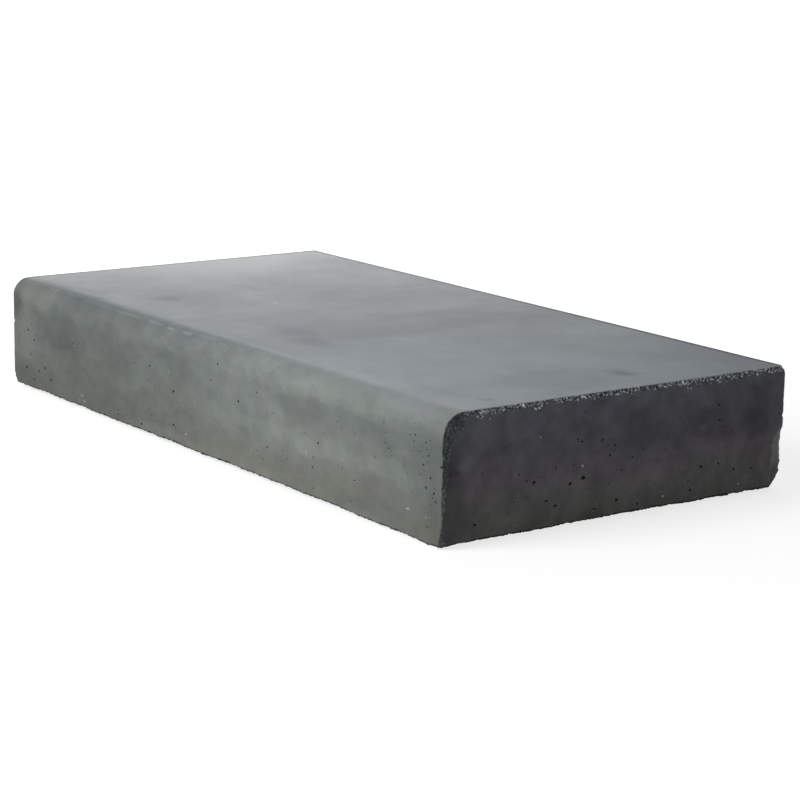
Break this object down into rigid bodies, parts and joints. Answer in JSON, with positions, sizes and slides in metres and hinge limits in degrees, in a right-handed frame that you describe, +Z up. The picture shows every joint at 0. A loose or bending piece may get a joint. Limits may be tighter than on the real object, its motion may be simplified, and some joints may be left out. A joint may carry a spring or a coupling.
{
  "type": "concrete step block",
  "caption": "Solid cast concrete step block with a bullnosed front edge, rounded arrises and one knocked-off bottom corner.",
  "frame": {"origin": "middle of the bed, the face that the block lies on", "axes": "+X along the length, towards the end with the broken corner; +Y from the bullnosed front face to the back; +Z up, from the bed to the tread"},
  "size_m": [1, 0.5, 0.15],
  "materials": {
    "cast_concrete": "fair-faced anthracite concrete from a steel mould, satin tread, pitted ends"
  },
  "bodies": {
    "root": {"step_block": "cast_concrete"}
  },
  "joints": []
}
